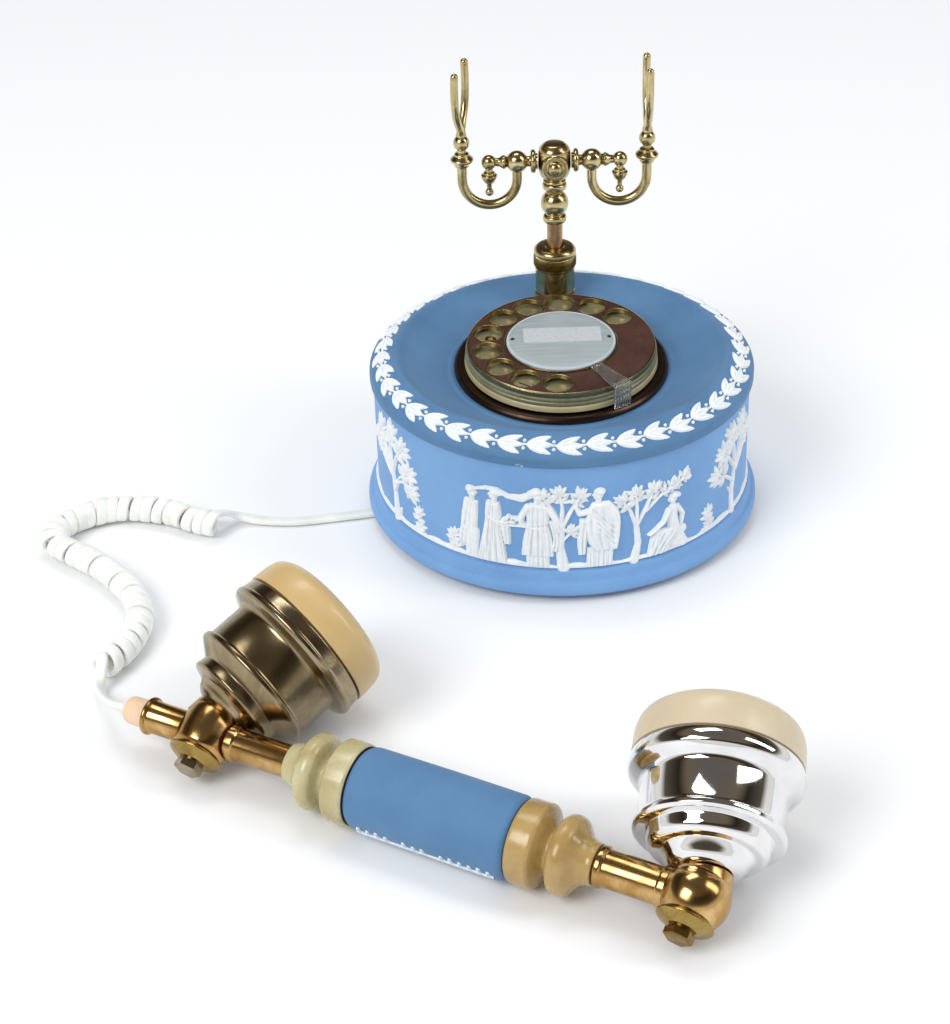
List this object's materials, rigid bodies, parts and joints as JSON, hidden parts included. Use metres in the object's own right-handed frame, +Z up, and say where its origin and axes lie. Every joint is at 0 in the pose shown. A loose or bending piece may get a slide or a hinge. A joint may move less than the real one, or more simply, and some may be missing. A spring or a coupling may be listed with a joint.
{
  "type": "rotary dial telephone",
  "caption": "Round relief-decorated drum telephone with a rotary dial and a turned brass cradle, its cupped handset lying in front on a curly cord.",
  "frame": {"origin": "centre of the foot pad's underside, on the surface that the telephone stands on, on the drum's axis", "axes": "+Z up along the drum's axis; -Y is the front, where the handset lies; +X is to the right"},
  "size_m": [0.2939, 0.3594, 0.1697],
  "materials": {
    "jasper": "matte unglazed blue stoneware look with white relief",
    "antique_brass": "polished with an olive-brown patina",
    "copper_gold": "polished, warm copper-gold, lightly spotted",
    "dark_bronze": "dark reddish brown lacquer, satin",
    "polished_chrome": "mirror polished",
    "tarnished_nickel": "polished, tarnished towards brown",
    "ivory": "aged ivory with brown streaks",
    "cream": "smooth satin",
    "steel": "plain",
    "black_rubber": "matte",
    "phenolic": "matte",
    "clear_acrylic": "clear, polished",
    "frosted_silver": "frosted disc with a blank card",
    "cord_white": "off-white flat flexible cord"
  },
  "bodies": {
    "base": {"jasper_drum": "jasper", "jasper_lid": "jasper", "base_plate": "steel", "foot_pad": "black_rubber", "base_screw_1": "steel", "base_screw_2": "steel", "base_screw_3": "steel", "cord_gland": "black_rubber", "line_inlet": "black_rubber", "dial_bezel": "dark_bronze", "number_ring": "cream", "dial_case": "antique_brass", "finger_stop": "clear_acrylic", "mechanism_plate": "steel", "pulse_contacts": "phenolic", "post_sleeve": "antique_brass", "collar_nut": "antique_brass", "hook_bracket": "steel", "ringer_coil": "copper_gold", "gong_left": "antique_brass", "gong_right": "antique_brass", "circuit_board": "phenolic", "cord_lead_base": "cord_white", "cord_curl": "cord_white"},
    "dial": {"finger_wheel": "dark_bronze", "centre_label": "frosted_silver", "dial_spindle": "steel", "main_gear": "antique_brass"},
    "governor": {"governor": "antique_brass"},
    "cradle": {"post_rod": "antique_brass", "post_baluster": "antique_brass", "cross_block": "antique_brass", "turned_arm_left": "antique_brass", "turned_arm_right": "antique_brass", "u_arm_left": "antique_brass", "u_arm_right": "antique_brass", "fork_left": "antique_brass", "fork_right": "antique_brass"},
    "hook_lever": {"hook_lever": "steel"},
    "clapper": {"clapper": "steel"},
    "handset": {"jasper_grip": "jasper", "ivory_collar_left": "ivory", "ivory_collar_right": "ivory", "core_tube": "steel", "tube_left": "copper_gold", "tube_right": "copper_gold", "tee_left": "copper_gold", "ball_right": "copper_gold", "washer_left": "tarnished_nickel", "washer_right": "tarnished_nickel", "clamp_bolt_left": "tarnished_nickel", "clamp_bolt_right": "tarnished_nickel", "ear_cup": "tarnished_nickel", "mouth_cup": "polished_chrome", "ear_cap": "cream", "mouth_cap": "cream", "receiver_capsule": "steel", "microphone_capsule": "steel", "cord_bush": "ivory", "cord_lead_handset": "cord_white"}
  },
  "joints": [
    {"name": "dial_turn", "type": "hinge", "parent": "base", "child": "dial", "pos_m": [0, 0, 0.072], "axis": [0, 0.0645, -0.9979], "range_deg": [0, 302], "stiffness_Nm_per_rad": 0.01, "springref_deg": -114.59},
    {"name": "governor_spin", "type": "hinge", "parent": "base", "child": "governor", "pos_m": [0.021, 0, 0.072], "axis": [0, 0.0645, -0.9979], "range_deg": [-1130, 5]},
    {"name": "cradle_press", "type": "slide", "parent": "base", "child": "cradle", "axis": [0, 0, -1], "range_m": [0, 0.006], "stiffness_N_per_m": 300, "springref_m": -0.015},
    {"name": "hook_swing", "type": "hinge", "parent": "base", "child": "hook_lever", "pos_m": [0, 0.03, 0.036], "axis": [-1, 0, 0], "range_deg": [-0.5, 18]},
    {"name": "clapper_swing", "type": "hinge", "parent": "base", "child": "clapper", "pos_m": [0, -0.019, 0.014], "axis": [0, 0, 1], "range_deg": [-3.4, 3.4], "stiffness_Nm_per_rad": 0.01},
    {"name": "handset_lift", "type": "slide", "parent": "base", "child": "handset", "axis": [0, 0, 1], "range_m": [0, 0.2]}
  ],
  "couplings": [
    {"joint": "governor_spin", "follows": "dial_turn", "ratio": -3.72},
    {"joint": "hook_swing", "follows": "cradle_press", "rad_per_m": 50.9}
  ]
}
